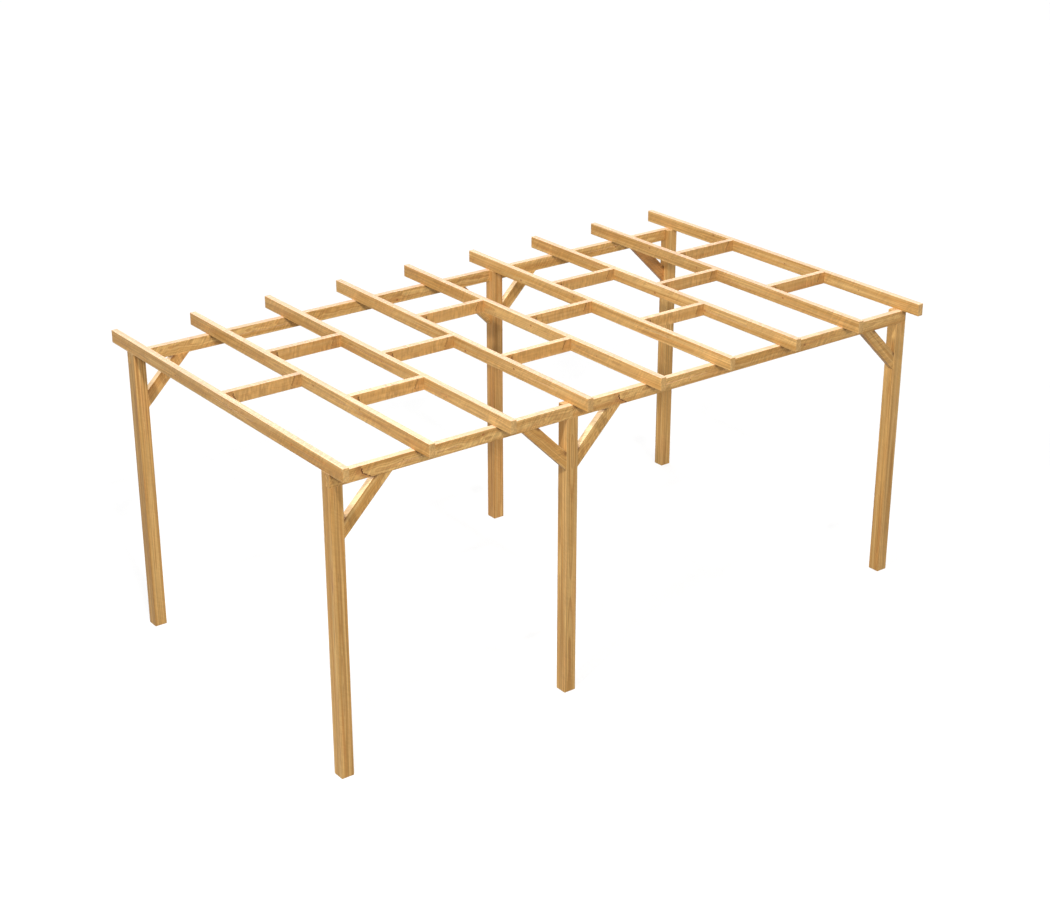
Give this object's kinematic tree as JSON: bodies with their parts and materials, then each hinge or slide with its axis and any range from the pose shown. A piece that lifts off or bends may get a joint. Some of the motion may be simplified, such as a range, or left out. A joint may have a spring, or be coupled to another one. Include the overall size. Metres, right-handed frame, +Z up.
{
  "type": "freestanding wooden pergola",
  "caption": "Freestanding timber pergola: square posts with knee braces carry two beam lines and a flat open roof of overhanging rafters with noggings between them.",
  "frame": {"origin": "on the ground, under the centre of the roof", "axes": "+X along the beams to the right, seen from the front; +Y from the front row of posts to the rear row; +Z up"},
  "size_m": [4.917, 3, 2.19],
  "materials": {
    "posts": "planed softwood",
    "beams": "planed softwood",
    "braces": "planed softwood",
    "rafters": "planed softwood",
    "noggings": "planed softwood"
  },
  "bodies": {
    "root": {"front_left_post": "posts", "front_middle_post": "posts", "front_right_post": "posts", "rear_left_post": "posts", "rear_middle_post": "posts", "rear_right_post": "posts", "front_left_beam": "beams", "front_right_beam": "beams", "rear_left_beam": "beams", "rear_right_beam": "beams", "front_left_brace": "braces", "front_middle_left_brace": "braces", "front_middle_right_brace": "braces", "front_right_brace": "braces", "rear_left_brace": "braces", "rear_middle_left_brace": "braces", "rear_middle_right_brace": "braces", "rear_right_brace": "braces", "rafter_1": "rafters", "rafter_2": "rafters", "rafter_3": "rafters", "rafter_4": "rafters", "rafter_5": "rafters", "rafter_6": "rafters", "rafter_7": "rafters", "rafter_8": "rafters", "rafter_9": "rafters", "bay_1_middle_nogging": "noggings", "bay_2_front_nogging": "noggings", "bay_2_rear_nogging": "noggings", "bay_3_middle_nogging": "noggings", "bay_4_front_nogging": "noggings", "bay_4_rear_nogging": "noggings", "bay_5_middle_nogging": "noggings", "bay_6_front_nogging": "noggings", "bay_6_rear_nogging": "noggings", "bay_7_middle_nogging": "noggings", "bay_8_front_nogging": "noggings", "bay_8_rear_nogging": "noggings"}
  },
  "joints": []
}
